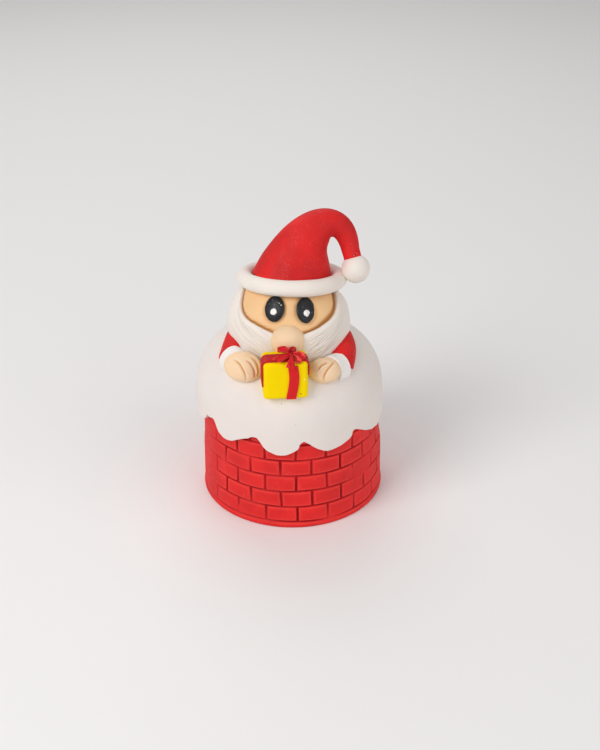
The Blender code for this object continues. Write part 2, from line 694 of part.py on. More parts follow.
def main():
    make_chimney()
    make_snow()
    snow = snow_cutter()
    head_clear = cutter("head", head_ball("head_clear", GAP))
    beard_clear = cutter("beard", ball("beard_clear", HEAD_CENTRE, [BEARD_RADIUS + 2 * GAP] * 3,
                                       HEAD_SEGMENTS, HEAD_RINGS))
    nose_clear = cutter("nose", nose_mesh("nose_clear", GAP))
    band_clear = cutter("band", band_mesh("band_clear", GAP))
    bobble_clear = cutter("bobble", bobble_mesh("bobble_clear", GAP))

    cut(piece("head", head_ball("head"), "skin icing"), snow)
    cut(piece("nose", nose_mesh("nose"), "skin icing"), head_clear)
    for side in EYES:
        eye_clear = cutter("eye_" + side, eye_mesh("eye_clear_" + side, side, GAP))
        cut(piece("eye_" + side, eye_mesh("eye_" + side, side), "black icing"), head_clear,
            band_clear)
        cut(piece("glint_" + side, glint_mesh("glint_" + side, side), "white icing"), eye_clear)
    cut(piece("beard", beard_mesh("beard"), "white icing"), head_clear, snow, band_clear,
        nose_clear)

    cut(piece("hat_band", band_mesh("hat_band"), "white icing"), head_clear)
    cut(piece("hat", tube("hat", HAT_LINE, 16, 2), "red icing"), head_clear, band_clear,
        bobble_clear)
    cut(piece("bobble", bobble_mesh("bobble"), "white icing"), band_clear)

    gift_clear = make_gift(snow, nose_clear, beard_clear)
    for side in SLEEVE_LINES:
        hand = make_arm(side, snow, beard_clear)
        cut(hand, gift_clear, beard_clear)


main()
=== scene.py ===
from math import cos, degrees, pi, radians, sin, sqrt
from random import Random

import bmesh
import bpy
import numpy as np
from mathutils import Euler, Matrix, Vector, noise


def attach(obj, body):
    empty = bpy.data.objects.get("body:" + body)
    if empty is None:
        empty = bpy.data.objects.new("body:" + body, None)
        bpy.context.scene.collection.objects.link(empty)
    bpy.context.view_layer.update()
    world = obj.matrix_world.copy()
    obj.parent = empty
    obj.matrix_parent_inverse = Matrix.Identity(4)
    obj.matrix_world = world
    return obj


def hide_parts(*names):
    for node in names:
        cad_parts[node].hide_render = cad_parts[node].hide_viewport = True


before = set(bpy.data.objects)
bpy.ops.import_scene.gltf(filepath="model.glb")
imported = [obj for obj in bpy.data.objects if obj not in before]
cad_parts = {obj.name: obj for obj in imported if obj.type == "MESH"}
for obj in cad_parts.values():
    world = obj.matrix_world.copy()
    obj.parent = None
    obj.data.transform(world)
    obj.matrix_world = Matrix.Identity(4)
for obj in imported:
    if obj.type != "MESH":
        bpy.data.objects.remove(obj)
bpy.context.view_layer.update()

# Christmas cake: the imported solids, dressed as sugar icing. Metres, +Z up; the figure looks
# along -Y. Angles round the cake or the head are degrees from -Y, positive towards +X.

MM = 0.001

# Cake
CHIMNEY_FOOT_RADIUS = 56.4 * MM
CHIMNEY_TOP_RADIUS = 54.9 * MM
CHIMNEY_FOOT_X = 1.5 * MM
CHIMNEY_TOP_X = 0.6 * MM
CHIMNEY_TAPER_HEIGHT = 50.0 * MM
FIRST_JOINT_HEIGHT = 4.1 * MM
COURSE_HEIGHT = 10.83 * MM
COURSES = 6
BRICKWORK_TOP = 67.0 * MM
CHIMNEY_CROWN = 96.0 * MM
BRICK_ANGLE = 19.65
FIRST_HEAD_JOINT = -163.8
HEAD_JOINTS = 18
JOINT_DEPTH = 1.35 * MM
BED_JOINT_HALF_WIDTH = 0.50 * MM
HEAD_JOINT_HALF_WIDTH = 0.68 * MM
# Where the icing bulges or sinks, as (angle, height, spread of each, rise), in degrees and mm
CHIMNEY_DENTS = [(88, 50, 16, 7, -1.3), (86, 30, 16, 10, 0.7), (-88, 44, 14, 9, -0.6),
                 (49.5, 29, 7, 3, -0.35), (48.5, 21, 1.2, 2.2, -0.8), (48.8, 42.0, 1.0, 1.0, 0.9),
                 (-51.3, 21, 0.8, 3, 0.35)]
# Where the brick press left little, as (angle, height, spread of each, share that is left)
FAINT_SPOTS = [(49, 29.5, 12, 6.5, 0.0), (-35, 6.5, 5, 3, 0.1), (-67, 34, 13, 60, 0.08),
               (57, 12, 7, 5, 0.5), (-48, 36, 5, 7, 0.4), (64, 41, 7, 9, 0.3)]
# The grid's lines beside a joint, in mm from its middle, and how far apart others may be
BESIDE_JOINT = (0.0, 0.25, 0.48, 0.68, 0.88, 1.15, 1.5, 2.1)
WIDEST_TURN = 1.6
WIDEST_LEVEL = 1.5
FOOT_LEVELS = (0.0, 0.15, 0.4, 0.7, 1.0, 1.4)

SNOW_X = -0.5 * MM
SNOW_RADIUS = 58.0 * MM
SNOW_SHOULDER = 58.5 * MM
SNOW_TOP = 107.2 * MM
SNOW_SQUARENESS = 3.0
SNOW_SEAT_RADIUS = 29.0 * MM
SNOW_RIM_RADIUS = 57.9 * MM
SNOW_SIDES = 720
SNOW_RINGS = 60
SNOW_EDGE_ROUNDING = 0.8
SNOW_UNDERSIDE = 90.0 * MM
SCALLOP_BLEND_TOP = 80.0 * MM
# The edge of the snow, as (angle, height in mm): low at a drip, high between two
SCALLOPS = [
    (-62.8, 60.0), (-58.4, 64.5), (-55.4, 64.6), (-52.1, 65.5), (-50.1, 64.2), (-47.5, 59.6),
    (-43.2, 56.6), (-39.1, 56.0), (-34.6, 57.4), (-30.4, 59.8), (-24.8, 62.1), (-21.5, 63.8),
    (-18.6, 63.4), (-14.4, 57.4), (-10.4, 54.6), (-4.0, 53.2), (0.9, 54.6), (5.7, 57.9),
    (6.5, 60.6), (9.0, 62.5), (10.9, 61.5), (15.9, 57.4), (22.4, 53.9), (27.9, 53.8),
    (35.2, 55.6), (40.3, 58.2), (41.3, 61.4), (44.1, 61.5), (55.5, 55.5), (63.9, 52.6),
    (73.4, 52.0), (86, 55.0), (95, 62.0), (106, 57.0), (118, 53.5), (130, 58.0), (136, 63.5),
    (147, 57.5), (160, 54.0), (172, 60.5), (180, 64.0), (191, 57.5), (203, 53.6), (216, 58.5),
    (224, 64.0), (235, 57.0), (248, 53.0), (262, 56.5), (272, 63.0), (283, 58.6),
]
# Small steps in the snow's edge round the back, as (angle, spread, rise) in degrees and mm
SCALLOP_NICKS = [(93, 0.9, 0.5), (98, 1.1, -0.4), (134, 0.9, 0.6), (139, 1.2, -0.5),
                 (178, 1.2, 0.6), (184, 1.0, -0.4), (221, 0.9, 0.5), (227, 1.2, -0.5),
                 (270, 1.0, 0.5), (276, 1.1, -0.4)]

# Figure
HEAD_CENTRE = Vector((-0.5, 0.0, 111.5)) * MM
HEAD_RADIUS = 35.6 * MM
BEARD_RADIUS = 37.1 * MM
NOSE_CENTRE = Vector((-0.9, -33.2, 117.0)) * MM
NOSE_RADIUS = 10.0 * MM
EYE_SIZE = Vector((6.15, 2.2, 7.8)) * MM
# Each eye's middle on the head and its roll, as (angle, elevation, roll)
EYES = {"left": (-16.9, 40.1, -13.5), "right": (20.9, 38.2, 26.0)}
GLINT_SIZE = Vector((1.9, 0.9, 1.9)) * MM
GLINT_LIFT = 0.93
GLINT_DROP = 2.3 * MM
GLINT_SHIFT = 1.8 * MM
GLINT_ROLL = {"left": -8.0, "right": 20.0}
# The beard's upper edge on the head, as (angle, elevation)
BEARD_EDGE = [
    (-113, -16), (-107, 8), (-101, 32), (-94, 40.5), (-87, 42), (-78.5, 38.4), (-70, 33.0),
    (-62.5, 28.4), (-54.8, 25.0), (-47, 23.0), (-37, 21.6), (-28.6, 20.1), (-19.8, 18.1),
    (0, 14.4), (15.6, 16.0), (30.6, 18.6), (39.2, 20.6), (47.8, 22.3), (57.2, 25.0),
    (64.8, 28.6), (72.2, 33.2), (78, 37.2), (83, 39.6), (88, 37.5), (94, 27), (101, 3),
    (110, -16),
]
BEARD_FOOT = -18.0
BEARD_ROUNDING = 4.0
HAIR_STROKES = 44
DEEPEST_STROKE = 0.7 * MM
# Deeper strokes, as (angle, share down, reach in angle, drop over it, depth in mm)
DEEP_STROKES = [(17, 0.52, 18, -0.26, 0.6), (20, 0.66, 20, -0.24, 0.5),
                (24, 0.44, 22, -0.20, 0.4), (34, 0.60, 26, -0.26, 0.4),
                (50, 0.30, 26, -0.16, 0.35), (18, 0.36, 12, -0.10, 0.4),
                (-20, 0.50, -26, -0.22, 0.35), (-30, 0.34, -30, -0.18, 0.3)]

BAND_CENTRE = Vector((1.4, 5.0, 139.6)) * MM
BAND_RADIUS = 28.2 * MM
BAND_THICKNESS = 4.8 * MM
HAT_TILT = 12.0
HAT_ROLL = 1.0
# The hat's middle line from inside the band to the tip, as (x, y, z, radius) in mm
HAT_LINE = [
    (2.2, 5.0, 139.2, 24.6), (3.0, 5.9, 143.4, 22.8), (5.2, 7.4, 151.0, 20.1),
    (8.5, 9.2, 159.8, 15.9), (13.9, 10.8, 167.0, 12.3), (21.8, 12.0, 171.8, 9.8),
    (29.7, 11.2, 170.4, 7.7), (34.3, 8.6, 164.4, 6.2), (36.5, 5.6, 156.4, 5.3),
    (38.1, 3.4, 150.6, 5.3),
]
# Past this share of its length the hat isn't smoothed, so its creases stay
SMOOTHED_SHARE = 0.88
HAT_SMOOTHING = 90
HAT_CREASES = (0.884, 0.898)
CREASE_DEPTH = 0.9 * MM
CREASE_HALF_WIDTH = 0.0045
CREASE_SIDE = Vector((0.6, -0.8, 0.0))
BOBBLE_CENTRE = Vector((39.3, 1.6, 146.8)) * MM
BOBBLE_RADIUS = 8.45 * MM

# Arms, as (x, y, z, radius) in mm from the shoulder to the cuff
SLEEVE_LINES = {
    "left": [(-27.5, 11.0, 103.5, 5.2), (-29.8, 0.0, 104.0, 7.2), (-31.4, -11.0, 103.2, 8.3),
             (-33.8, -24.8, 100.3, 8.1)],
    "right": [(26.5, 11.0, 103.5, 5.2), (28.6, 1.0, 103.8, 7.4), (31.0, -10.0, 103.0, 8.2),
              (31.2, -20.0, 100.4, 8.3), (29.9, -28.4, 97.1, 7.9)],
}
CUFF_LENGTH = 8.2
CUFF_RADIUS = 8.75
# The cuff's section, as (distance along the arm, radius) in mm
CUFF_PROFILE = [(0.0, CUFF_RADIUS - 2.4), (0.0, CUFF_RADIUS - 0.35), (0.10, CUFF_RADIUS - 0.10),
                (0.35, CUFF_RADIUS + 0.10), (0.8, CUFF_RADIUS), (3.0, CUFF_RADIUS - 0.1),
                (5.0, CUFF_RADIUS - 0.1), (CUFF_LENGTH - 0.8, CUFF_RADIUS),
                (CUFF_LENGTH - 0.35, CUFF_RADIUS + 0.05),
                (CUFF_LENGTH - 0.10, CUFF_RADIUS - 0.12), (CUFF_LENGTH, CUFF_RADIUS - 0.4),
                (CUFF_LENGTH, CUFF_RADIUS - 2.4)]
CUFF_AIM = {"left": Vector((0.48, -0.88, 0.03)), "right": Vector((-0.69, -0.72, 0.11))}
HAND_SIZE = {"left": Vector((11.9, 9.2, 7.4)) * MM, "right": Vector((9.6, 7.7, 6.3)) * MM}
HAND_CENTRE = {"left": Vector((-27.0, -36.9, 102.2)) * MM,
               "right": Vector((20.5, -39.7, 101.0)) * MM}
HAND_TURN = {"left": (34.0, 2.0, -26.0), "right": (34.0, 0.0, 12.0)}
GROOVE_DEPTH = 0.85
GROOVE_LIP = 0.22
# Grooves between the fingers, as (across, seen height) in mm from the hand's middle
FINGER_GROOVES = {
    "left": [[(-5.5, 3.9), (-2.8, 2.5), (-1.1, 0.5), (0.5, -2.2), (1.5, -4.6), (2.0, -7.9)],
             [(2.3, 3.5), (4.4, 2.0), (5.9, -0.2), (6.9, -2.7), (7.2, -4.8), (7.0, -6.6)],
             [(5.0, 5.4), (7.2, 3.6), (8.5, 1.5), (9.2, -1.0), (9.2, -3.4), (8.4, -5.6)]],
    "right": [[(5.7, 5.2), (4.7, 3.9), (3.0, 2.1), (1.6, 0.3), (0.4, -1.6), (-0.4, -3.5),
               (-0.8, -6.0)],
              [(1.6, 4.7), (0.4, 4.2), (-1.6, 3.2), (-3.0, 1.9), (-4.2, 0.4)]],
}

# Gift
GIFT_SIZE = Vector((25.8, 17.2, 23.6)) * MM
GIFT_CENTRE = Vector((-2.6, -47.3, 102.6)) * MM
GIFT_TURN = 5.5
GIFT_LEAN = 2.0
GIFT_EDGE_RADIUS = 2.4 * MM
RIBBON_LIFT = 0.3 * MM
RIBBON_THICKNESS = 0.7 * MM
RIBBON_WIDTH = 5.8 * MM
RIBBON_SHIFT = 4.2 * MM
RIBBON_SWAY = 0.8 * MM
RIBBON_DRIFT = 0.6 * MM
RIBBON_WAVES = 0.675
RIBBON_START = 0.025
STRAP_WIDTH = 9.3 * MM
STRAP_FRONT = 1.6 * MM
STRAP_ENDS = (-3.8 * MM, 3.0 * MM)
STRAP_CORNER = 3.2 * MM
KNOT_PLACE = Vector((3.6, 4.9, 2.6)) * MM
KNOT_SIZE = Vector((1.7, 1.6, 1.4)) * MM

# How far the photo's view looks down on the bow
VIEW = radians(29.4)
# Each strip of the bow runs out from the knot between two edges. A station gives both edges'
# points, each as (across, seen height, lift off the gift), in mm from the knot.
BOW_STRIPS = {
    "bow_tail": [(-0.9, 0.6, 1.5, 0.9, 0.4, 1.5), (-1.3, -1.2, 1.2, 0.5, -1.6, 1.2),
                 (-2.4, -3.6, -0.6, 1.0, -3.8, -0.6), (-3.1, -5.4, -2.6, 1.4, -5.8, -2.8),
                 (-3.7, -7.0, -4.0, 0.9, -8.3, -5.2)],
    "bow_leaf_left": [(-0.8, 0.9, 0.2, -0.8, -0.9, 0.0), (-2.8, 1.2, 0.2, -2.6, -1.9, -0.3),
                      (-5.2, 0.9, 0.1, -4.6, -2.8, -0.5), (-8.4, -0.2, -0.1, -6.0, -3.6, -0.7),
                      (-10.8, -1.4, -0.3, -6.9, -3.9, -0.8)],
    "bow_leaf_right": [(0.8, 0.8, 0.3, 0.7, -0.9, 0.0), (2.3, 1.5, 0.5, 1.4, -2.2, -0.4),
                       (4.8, 1.8, 0.6, 2.0, -3.8, -1.4), (7.2, 1.1, 0.4, 2.8, -4.8, -2.2),
                       (8.3, -0.7, 0.0, 4.2, -5.1, -2.4)],
    "bow_loop_left": [(-0.6, 1.5, 0.9, -1.0, 0.9, 0.6), (-1.6, 3.8, 2.0, -2.6, 1.3, 1.0),
                      (-3.6, 5.4, 2.6, -4.8, 1.5, 1.2), (-6.0, 5.3, 2.6, -6.6, 2.0, 1.4),
                      (-7.6, 4.2, 2.2, -7.6, 3.0, 1.8)],
    "bow_loop_right": [(-0.6, 1.4, 0.8, 0.8, 1.1, 0.8), (-1.1, 3.0, 1.4, 2.2, 1.8, 0.9),
                       (-0.2, 4.4, 1.8, 3.2, 2.6, 1.1), (1.8, 4.5, 1.8, 3.4, 3.6, 1.4)],
}
# How much painted shade lies over the strap and over one loop, from 0 to 1
STRAP_SHADE = 0.42
BOW_SHADE = {"bow_loop_right": 0.45}
BOW_THICKNESS = {"bow_tail": 1.3 * MM, "bow_leaf_left": 1.5 * MM, "bow_leaf_right": 1.5 * MM,
                 "bow_loop_left": 2.8 * MM, "bow_loop_right": 2.0 * MM}
BOW_FOLD = 0.48

# Studio: the lamps as (name, place, size, power), in metres and watts
LAMPS = [("key", (-0.85, -0.75, 1.00), 0.8, 11.6), ("fill", (0.95, -0.75, 0.7), 1.4, 6.0),
         ("back", (-0.2, 0.9, 1.0), 1.0, 4.0)]
LAMP_TARGET = Vector((0, 0, 0.09))
FLOOR_REACH = 4.0
FLOOR_COLOUR = (0.85, 0.84, 0.83, 1)
SKY_COLOUR = (0.98, 0.97, 0.97, 1)
SKY_STRENGTH = 0.40
CAMERA_PLACE = (0.006223, -0.69618, 0.47817)
CAMERA_PITCH = 59.924
CAMERA_ROLL = -0.089
CAMERA_LENS = 62.4
CAMERA_SENSOR = 36.0

# Crumbs and dots on the icing, and on the hat's tip painted shade and highlight, as (x, y, z,
# radius) in mm and a colour
SNOW_MARKS = [(-4.5, -53.7, 86.9, 0.36, (0.30, 0.24, 0.20)),
              (3.5, -57.2, 74.7, 0.40, (0.66, 0.59, 0.55)),
              (22.0, 49.0, 84.0, 0.35, (0.35, 0.29, 0.25))]
GIFT_MARKS = [(6.7, -55.3, 94.5, 0.42, (0.16, 0.10, 0.01)),
              (8.85, -54.9, 103.8, 0.35, (0.95, 0.90, 0.60))]
# On the hat's tip the dark dots are painted shade in the crease and the light dots painted
# highlight on its edges
HAT_MARKS = [(38.89, 0.48, 156.7, 0.42, (0.17, 0.0, 0.004)),
             (38.65, 0.15, 156.2, 0.38, (0.20, 0.0, 0.004)),
             (37.41, -0.1, 156.26, 0.30, (0.26, 0.0, 0.006)),
             (38.1, 0.0, 156.2, 0.34, (0.92, 0.14, 0.12)),
             (39.6, 0.95, 156.9, 0.34, (0.92, 0.16, 0.14))]
EYE_MARKS = [(-4.6, -27.4, 137.4, 0.44, (0.66, 0.57, 0.43)),
             (-5.7, -26.5, 138.2, 0.36, (0.50, 0.46, 0.40)),
             (-6.8, -25.8, 138.5, 0.34, (0.16, 0.16, 0.15)),
             (-9.5, -24.0, 138.9, 0.45, (0.09, 0.09, 0.09)),
             (-11.3, -24.9, 137.0, 0.45, (0.08, 0.08, 0.08)),
             (-8.5, -26.5, 137.3, 0.42, (0.08, 0.08, 0.08)),
             (13.2, -26.9, 132.4, 0.32, (0.22, 0.20, 0.17)),
             (7.9, -27.9, 136.4, 0.42, (0.07, 0.07, 0.07))]


# Icing materials

def icing(name, colour, roughness, bump=0.25, grain=900.0, mottle=0.10, gloss=0.5, glow=0.12,
          specks=None, hollow=None, lip=None, marks=()):
    """Sugar icing: a slow drift of colour, a fine grain, specks and marks where given, and painted
    highlight and painted shade from the points' layers where given.
    """
    material = bpy.data.materials.new(name)
    material.use_nodes = True
    nodes = material.node_tree.nodes
    links = material.node_tree.links
    shader = nodes["Principled BSDF"]
    shader.inputs["Metallic"].default_value = 0.0
    shader.inputs["Specular IOR Level"].default_value = gloss
    shader.inputs["Subsurface Weight"].default_value = glow
    shader.inputs["Subsurface Scale"].default_value = 2.0 * MM
    place = nodes.new("ShaderNodeTexCoord").outputs["Object"]

    def noise_texture(scale, detail):
        node = nodes.new("ShaderNodeTexNoise")
        node.inputs["Scale"].default_value = scale
        node.inputs["Detail"].default_value = detail
        links.new(place, node.inputs["Vector"])
        return node.outputs["Fac"]

    def mix(factor, one, other):
        node = nodes.new("ShaderNodeMix")
        node.data_type = "RGBA"
        links.new(factor, node.inputs[0])
        for socket, value in ((node.inputs[6], one), (node.inputs[7], other)):
            if isinstance(value, tuple):
                socket.default_value = (*value, 1.0)
            else:
                links.new(value, socket)
        return node.outputs[2]

    def spread(factor, low, high, to_low=0.0, to_high=1.0):
        node = nodes.new("ShaderNodeMapRange")
        for index, value in enumerate((low, high, to_low, to_high), 1):
            node.inputs[index].default_value = value
        links.new(factor, node.inputs[0])
        return node.outputs[0]

    drift = spread(noise_texture(55.0, 3.0), 0.3, 0.7)
    darker = tuple(value * (1 - mottle) for value in colour)
    lighter = tuple(min(value * (1 + mottle * 0.5), 1.0) for value in colour)
    shade = mix(drift, darker, lighter)
    if specks:
        tint, share, scale = specks
        cells = nodes.new("ShaderNodeTexVoronoi")
        cells.inputs["Scale"].default_value = scale
        links.new(place, cells.inputs["Vector"])
        dots = spread(cells.outputs["Distance"], 0.12, 0.22, 1.0, 0.0)
        patches = spread(noise_texture(120.0, 2.0), 0.62 - share, 0.72 - share)
        both = nodes.new("ShaderNodeMath")
        both.operation = "MULTIPLY"
        links.new(dots, both.inputs[0])
        links.new(patches, both.inputs[1])
        shade = mix(both.outputs[0], shade, tint)
    for *spot, radius, tint in marks:
        away = nodes.new("ShaderNodeVectorMath")
        away.operation = "DISTANCE"
        links.new(place, away.inputs[0])
        away.inputs[1].default_value = [value * MM for value in spot]
        cover = spread(away.outputs["Value"], radius * MM * 0.6, radius * MM * 1.3, 1.0, 0.0)
        shade = mix(cover, shade, tint)
    # Painted highlight on raised edges and painted shade in grooves, creases and recesses, from
    # each point's layer values
    for layer, tint in (("lip", lip), ("hollow", hollow)):
        if tint:
            depth = nodes.new("ShaderNodeAttribute")
            depth.attribute_name = layer
            shade = mix(depth.outputs["Fac"], shade, tint)
    links.new(shade, shader.inputs["Base Color"])

    rough = spread(noise_texture(260.0, 4.0), 0.3, 0.7, roughness - 0.05, roughness + 0.08)
    links.new(rough, shader.inputs["Roughness"])

    grains = nodes.new("ShaderNodeBump")
    grains.inputs["Strength"].default_value = bump
    grains.inputs["Distance"].default_value = 0.12 * MM
    links.new(noise_texture(grain, 4.0), grains.inputs["Height"])
    swell = nodes.new("ShaderNodeBump")
    swell.inputs["Strength"].default_value = 0.5
    swell.inputs["Distance"].default_value = 0.5 * MM
    links.new(noise_texture(95.0, 2.0), swell.inputs["Height"])
    links.new(grains.outputs["Normal"], swell.inputs["Normal"])
    links.new(swell.outputs["Normal"], shader.inputs["Normal"])
    return material


# The light red for the joints' edges is a painted highlight; the dark red in the joints is partly
# the icing's deeper red and partly painted shade
BRICK = icing("brick_icing", (0.76, 0.018, 0.018), 0.58, mottle=0.16, gloss=0.25,
              hollow=(0.36, 0.001, 0.008), lip=(0.92, 0.060, 0.045),
              specks=((0.95, 0.22, 0.16), 0.04, 1100.0))
SNOW = icing("snow_icing", (0.81, 0.738, 0.695), 0.62, bump=0.12, mottle=0.02, gloss=0.3,
             marks=SNOW_MARKS)
# The dark orange is painted shade in the finger grooves and the pale peach a painted highlight on
# their raised edges
SKIN = icing("skin_icing", (0.90, 0.65, 0.415), 0.55, bump=0.15, mottle=0.05, gloss=0.35,
             hollow=(0.66, 0.29, 0.07), lip=(0.97, 0.80, 0.62))
# The orange-brown is painted shade in the recess round the face and round the eyes
FACE = icing("face_icing", (0.87, 0.55, 0.28), 0.55, bump=0.15, mottle=0.05, gloss=0.3,
             hollow=(0.50, 0.19, 0.03))
# The darker tone is painted shade in the beard's hair strokes
WHITE = icing("white_icing", (0.84, 0.772, 0.705), 0.60, bump=0.15, mottle=0.03, gloss=0.35,
              hollow=(0.62, 0.53, 0.46))
GLINT = icing("glint_icing", (0.93, 0.91, 0.90), 0.5, bump=0.1, mottle=0.02)
BLACK = icing("black_icing", (0.012, 0.0135, 0.016), 0.40, bump=0.6, grain=600.0, mottle=0.3,
              gloss=0.32, glow=0.0, specks=((0.20, 0.19, 0.18), 0.10, 900.0), marks=EYE_MARKS)
# The dark red is painted shade, for pieces that carry that layer
RED = icing("red_icing", (0.69, 0.014, 0.014), 0.60, bump=0.3, mottle=0.20, gloss=0.25,
            hollow=(0.30, 0.002, 0.004), specks=((0.90, 0.16, 0.12), 0.14, 1300.0),
            marks=HAT_MARKS)
YELLOW = icing("yellow_icing", (0.96, 0.69, 0.0), 0.50, bump=0.15, mottle=0.04, gloss=0.06,
               marks=GIFT_MARKS)
CUFF = icing("cuff_icing", (0.86, 0.82, 0.785), 0.60, bump=0.15, mottle=0.02, gloss=0.35)
# The dark red is painted shade in the bow's creases, by the knot, over the strap and one loop; the
# light red is a painted highlight on the folds' ridges and edges
RIBBON = icing("ribbon_icing", (0.70, 0.010, 0.014), 0.50, bump=0.25, mottle=0.12, gloss=0.22,
               hollow=(0.26, 0.0, 0.010), lip=(0.98, 0.13, 0.08))


# Shapes

def skin(name, rings):
    """A closed mesh over rings of points; a ring of one point is a pole."""
    verts = []
    rows = []
    for ring in rings:
        start = len(verts)
        verts.extend(map(tuple, ring))
        rows.append(range(start, len(verts)))
    faces = []
    for low, high in zip(rows, rows[1:]):
        count = max(len(low), len(high))
        for i in range(count):
            j = (i + 1) % count
            corners = (low[i % len(low)], low[j % len(low)], high[j % len(high)],
                       high[i % len(high)])
            faces.append(tuple(dict.fromkeys(corners)))
    for row in (rows[0], rows[-1]):
        if len(row) > 1:
            faces.append(tuple(row))
    bm = bmesh.new()
    corners = [bm.verts.new(point) for point in verts]
    for face in faces:
        bm.faces.new([corners[i] for i in face])
    bmesh.ops.recalc_face_normals(bm, faces=bm.faces)
    mesh = bpy.data.meshes.new(name)
    bm.to_mesh(mesh)
    bm.free()
    return mesh


def skin_loop(name, rings):
    """A closed mesh over a loop of rings, such as a torus."""
    count = len(rings[0])
    verts = [tuple(point) for ring in rings for point in ring]
    faces = []
    for i in range(len(rings)):
        here = i * count
        there = (i + 1) % len(rings) * count
        faces += [(here + k, there + k, there + (k + 1) % count, here + (k + 1) % count)
                  for k in range(count)]
    mesh = bpy.data.meshes.new(name)
    mesh.from_pydata(verts, [], faces)
    return mesh


def dressed(node, mesh, material, crisp=None):
    """The piece that stands for one CAD node."""
    obj = bpy.data.objects.new("iced_" + node, mesh)
    bpy.context.scene.collection.objects.link(obj)
    mesh.shade_smooth()
    if crisp:
        mesh.set_sharp_from_angle(angle=radians(crisp))
    mesh.materials.append(material)
    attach(obj, "root")
    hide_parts(node)
    return obj


def spline(points, steps):
    """Points on a Catmull-Rom curve through `points`, as rows of an array."""
    knots = np.array([points[0], *points, points[-1]], float)
    t = (np.arange(steps) / steps)[:, None]
    spans = [0.5 * (2 * q + (r - p) * t + (2 * p - 5 * q + 4 * r - s) * t ** 2
                    + (3 * q - p - 3 * r + s) * t ** 3)
             for p, q, r, s in zip(knots, knots[1:], knots[2:], knots[3:])]
    return np.vstack([*spans, knots[-1:]])


FACE_EDGE = spline(BEARD_EDGE, 8)


def ease(t):
    t = np.clip(t, 0.0, 1.0)
    return t * t * (3 - 2 * t)


def ripple(point, size, seed=0.0):
    """Smooth noise from -1 to 1 with features of about `size` metres."""
    return noise.noise(Vector(point) / size + Vector((seed, 2.3 * seed, -seed)))


def blob(name, centre, size, segments, turn=(0.0, 0.0, 0.0), shape=None, squareness=1.0):
    """An ellipsoid with `shape`, which moves each of its points, given its unit direction."""
    rotation = Euler([radians(angle) for angle in turn]).to_matrix()
    rings = []
    for row in range(segments // 2 + 1):
        polar = pi * row / (segments // 2)
        count = 1 if row in (0, segments // 2) else segments
        ring = []
        for i in range(count):
            a = 2 * pi * i / segments
            unit = Vector((sin(polar) * cos(a), sin(polar) * sin(a), -cos(polar)))
            local = Vector([np.sign(share) * abs(share) ** squareness * half
                            for share, half in zip(unit, size)])
            point = centre + rotation @ local
            ring.append(shape(point, rotation @ unit) if shape else point)
        rings.append(ring)
    return skin(name, rings)


def sweep(name, line, sides, steps, shape, smoothing=0):
    """A roll of icing along (x, y, z, radius) in mm; `shape` changes the radius at a place."""
    stations = spline(line, steps)
    last = len(stations) - 1
    places = [Vector(row[:3]) * MM for row in stations]
    side = None
    rings = []
    for i, place in enumerate(places):
        along = (places[min(i + 1, last)] - places[max(i - 1, 0)]).normalized()
        side = side or along.orthogonal()
        side = (side - along * side.dot(along)).normalized()
        other = along.cross(side)
        radius = stations[i][3] * MM
        ring = []
        for k in range(sides):
            a = 2 * pi * k / sides
            out = side * cos(a) + other * sin(a)
            ring.append(place + out * (radius + shape(place, out, i / last)))
        rings.append(ring)
    rings = np.array(rings)
    kept = int(SMOOTHED_SHARE * len(rings))
    for _ in range(smoothing):
        rings[1:kept] = (rings[:kept - 1] + 2 * rings[1:kept] + rings[2:kept + 1]) / 4
    return skin(name, [[places[0]], *rings, [places[-1]]])


def shade_points(mesh, **layers):
    """A value from 0 to 1 for each point of each layer, for how much painted shade and painted
    highlight lie there.
    """
    for name, values in layers.items():
        layer = mesh.attributes.new(name, "FLOAT", "POINT")
        layer.data.foreach_set("value", values)


# Brickwork

def chimney_centre(height):
    return CHIMNEY_FOOT_X + (CHIMNEY_TOP_X - CHIMNEY_FOOT_X) * ease(height / CHIMNEY_TAPER_HEIGHT)


def chimney_radius(height):
    drop = CHIMNEY_FOOT_RADIUS - CHIMNEY_TOP_RADIUS
    return CHIMNEY_FOOT_RADIUS - drop * ease(height / CHIMNEY_TAPER_HEIGHT)


def lines_between(marks, offsets, most):
    """Grid lines at each mark and its offsets, with even ones between no wider than `most`."""
    near = sorted({round(mark + offset, 6) for mark in marks for offset in offsets})
    lines = []
    for low, high in zip(near, near[1:]):
        parts = max(1, int(np.ceil((high - low) / most)))
        lines += [low + (high - low) * k / parts for k in range(parts)]
    return lines + [near[-1]]


def brick_grid():
    """The grid of the brickwork: angles, heights, and mm to the nearest bed and head joint."""
    joints = [FIRST_HEAD_JOINT + BRICK_ANGLE * (np.arange(HEAD_JOINTS) + start)
              for start in (0.5, 0.0)]
    beside = sorted({-b for b in BESIDE_JOINT} | set(BESIDE_JOINT))
    degree = degrees(MM / CHIMNEY_FOOT_RADIUS)
    marks = list(joints[0]) + list(joints[1])
    turns = lines_between(marks, [b * degree for b in beside], WIDEST_TURN)
    end = turns[0] + 360.0
    turns = lines_between([turns[-1], end], [0.0], WIDEST_TURN)[1:-1] + turns
    beds = FIRST_JOINT_HEIGHT / MM + COURSE_HEIGHT / MM * np.arange(COURSES)
    levels = lines_between(beds, beside, WIDEST_LEVEL)
    levels = np.array([*FOOT_LEVELS, *levels,
                       *np.linspace(levels[-1], BRICKWORK_TOP / MM, 6)[1:]])

    turn, level = np.meshgrid(np.array(sorted(turns)), levels)
    course = np.floor((level - beds[0]) / (COURSE_HEIGHT / MM)).astype(int)
    bed_gap = np.abs(level[..., None] - beds).min(-1)
    even, odd = [np.abs((turn[..., None] - joint + 180) % 360 - 180).min(-1) / degree
                 for joint in joints]
    head_gap = np.where(course < 0, 99.0, np.where(course % 2 == 0, even, odd))
    return turn, level, bed_gap, head_gap


def joint_profile(gap, half_width):
    """The share of a joint's depth at a gap in mm from its middle."""
    return 1 / (1 + (gap * MM / half_width) ** 4)


